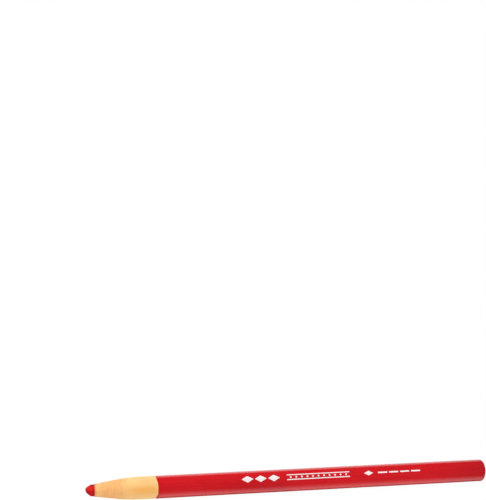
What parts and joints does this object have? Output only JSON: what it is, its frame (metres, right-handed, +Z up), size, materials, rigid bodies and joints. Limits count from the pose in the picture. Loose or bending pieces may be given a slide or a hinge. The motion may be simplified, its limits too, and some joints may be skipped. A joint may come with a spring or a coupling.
{
  "type": "china marker",
  "caption": "Round peel-off china marker: a wax core and pull string in a lacquered wound-paper wrapper whose sections come off over the point, with a bare paper nose.",
  "frame": {"origin": "under the middle of the marker, on the surface that it lies on", "axes": "+X along the marker's axis from the wax point to the dipped rear end, +Z up"},
  "size_m": [0.1714, 0.0092, 0.0092],
  "materials": {
    "wax": "satin",
    "string": "matte",
    "bare_paper": "matte",
    "lacquered_paper": "gloss",
    "lacquer": "gloss"
  },
  "bodies": {
    "holder": {"wax_core": "wax", "tail_wrap": "lacquered_paper", "end_dip": "lacquer"},
    "string": {"pull_string": "string"},
    "nose": {"nose_wrap": "bare_paper"},
    "peel_01": {"peel_wrap_01": "lacquered_paper"},
    "peel_02": {"peel_wrap_02": "lacquered_paper"},
    "peel_03": {"peel_wrap_03": "lacquered_paper"},
    "peel_04": {"peel_wrap_04": "lacquered_paper"},
    "peel_05": {"peel_wrap_05": "lacquered_paper"},
    "peel_06": {"peel_wrap_06": "lacquered_paper"},
    "peel_07": {"peel_wrap_07": "lacquered_paper"},
    "peel_08": {"peel_wrap_08": "lacquered_paper"},
    "peel_09": {"peel_wrap_09": "lacquered_paper"},
    "peel_10": {"peel_wrap_10": "lacquered_paper"},
    "peel_11": {"peel_wrap_11": "lacquered_paper"},
    "peel_12": {"peel_wrap_12": "lacquered_paper"}
  },
  "joints": [
    {"name": "string_pull", "type": "slide", "parent": "holder", "child": "string", "axis": [-1, 0, 0], "range_m": [0, 0.012]},
    {"name": "peel_12_slide", "type": "slide", "parent": "holder", "child": "peel_12", "axis": [-1, 0, 0], "range_m": [0, 0.014]},
    {"name": "peel_11_slide", "type": "slide", "parent": "peel_12", "child": "peel_11", "axis": [-1, 0, 0], "range_m": [0, 0.014]},
    {"name": "peel_10_slide", "type": "slide", "parent": "peel_11", "child": "peel_10", "axis": [-1, 0, 0], "range_m": [0, 0.014]},
    {"name": "peel_09_slide", "type": "slide", "parent": "peel_10", "child": "peel_09", "axis": [-1, 0, 0], "range_m": [0, 0.014]},
    {"name": "peel_08_slide", "type": "slide", "parent": "peel_09", "child": "peel_08", "axis": [-1, 0, 0], "range_m": [0, 0.014]},
    {"name": "peel_07_slide", "type": "slide", "parent": "peel_08", "child": "peel_07", "axis": [-1, 0, 0], "range_m": [0, 0.014]},
    {"name": "peel_06_slide", "type": "slide", "parent": "peel_07", "child": "peel_06", "axis": [-1, 0, 0], "range_m": [0, 0.014]},
    {"name": "peel_05_slide", "type": "slide", "parent": "peel_06", "child": "peel_05", "axis": [-1, 0, 0], "range_m": [0, 0.014]},
    {"name": "peel_04_slide", "type": "slide", "parent": "peel_05", "child": "peel_04", "axis": [-1, 0, 0], "range_m": [0, 0.014]},
    {"name": "peel_03_slide", "type": "slide", "parent": "peel_04", "child": "peel_03", "axis": [-1, 0, 0], "range_m": [0, 0.014]},
    {"name": "peel_02_slide", "type": "slide", "parent": "peel_03", "child": "peel_02", "axis": [-1, 0, 0], "range_m": [0, 0.014]},
    {"name": "peel_01_slide", "type": "slide", "parent": "peel_02", "child": "peel_01", "axis": [-1, 0, 0], "range_m": [0, 0.014]},
    {"name": "nose_slide", "type": "slide", "parent": "peel_01", "child": "nose", "axis": [-1, 0, 0], "range_m": [0, 0.03]}
  ]
}
